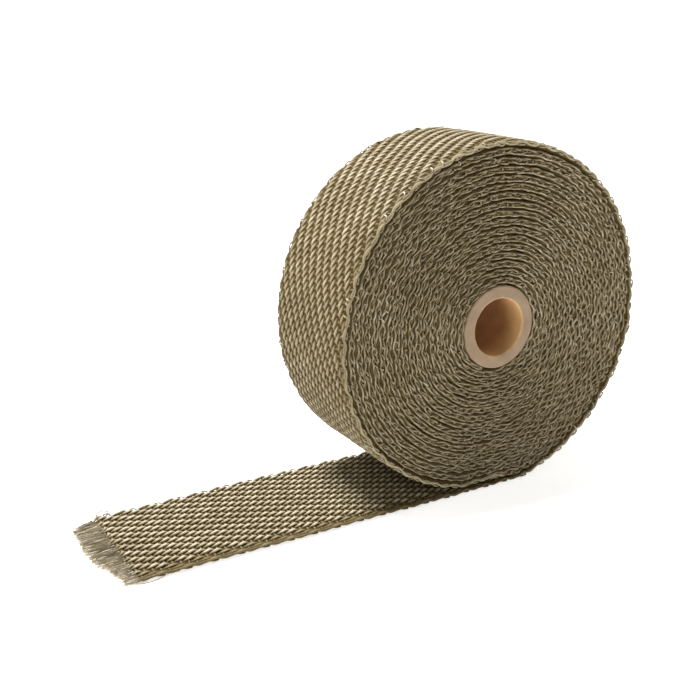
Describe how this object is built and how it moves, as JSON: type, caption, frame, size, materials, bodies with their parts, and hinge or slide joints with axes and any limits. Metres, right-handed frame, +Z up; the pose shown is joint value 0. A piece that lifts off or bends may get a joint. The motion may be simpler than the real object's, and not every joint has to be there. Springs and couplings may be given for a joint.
{
  "type": "exhaust heat wrap roll",
  "caption": "Roll of coarse woven heat wrap tape on a cardboard tube, lying on its rim with the free end laid flat on the floor, for lagging exhaust pipes.",
  "frame": {"origin": "on the floor straight under the roll's axis, midway across the tape's width", "axes": "+X points away from the free end, +Y runs along the roll's axis, +Z is up; the free end lies on the floor towards -X"},
  "size_m": [0.2152, 0.052, 0.1365],
  "materials": {
    "woven_wrap": "coarse two-up two-down twill of twisted mineral yarn, khaki to olive brown, dull with small glints",
    "cardboard_tube": "matt spiral-wound board with a pale cut end"
  },
  "bodies": {
    "root": {"wrap_tape": "woven_wrap", "core_tube": "cardboard_tube"}
  },
  "joints": []
}
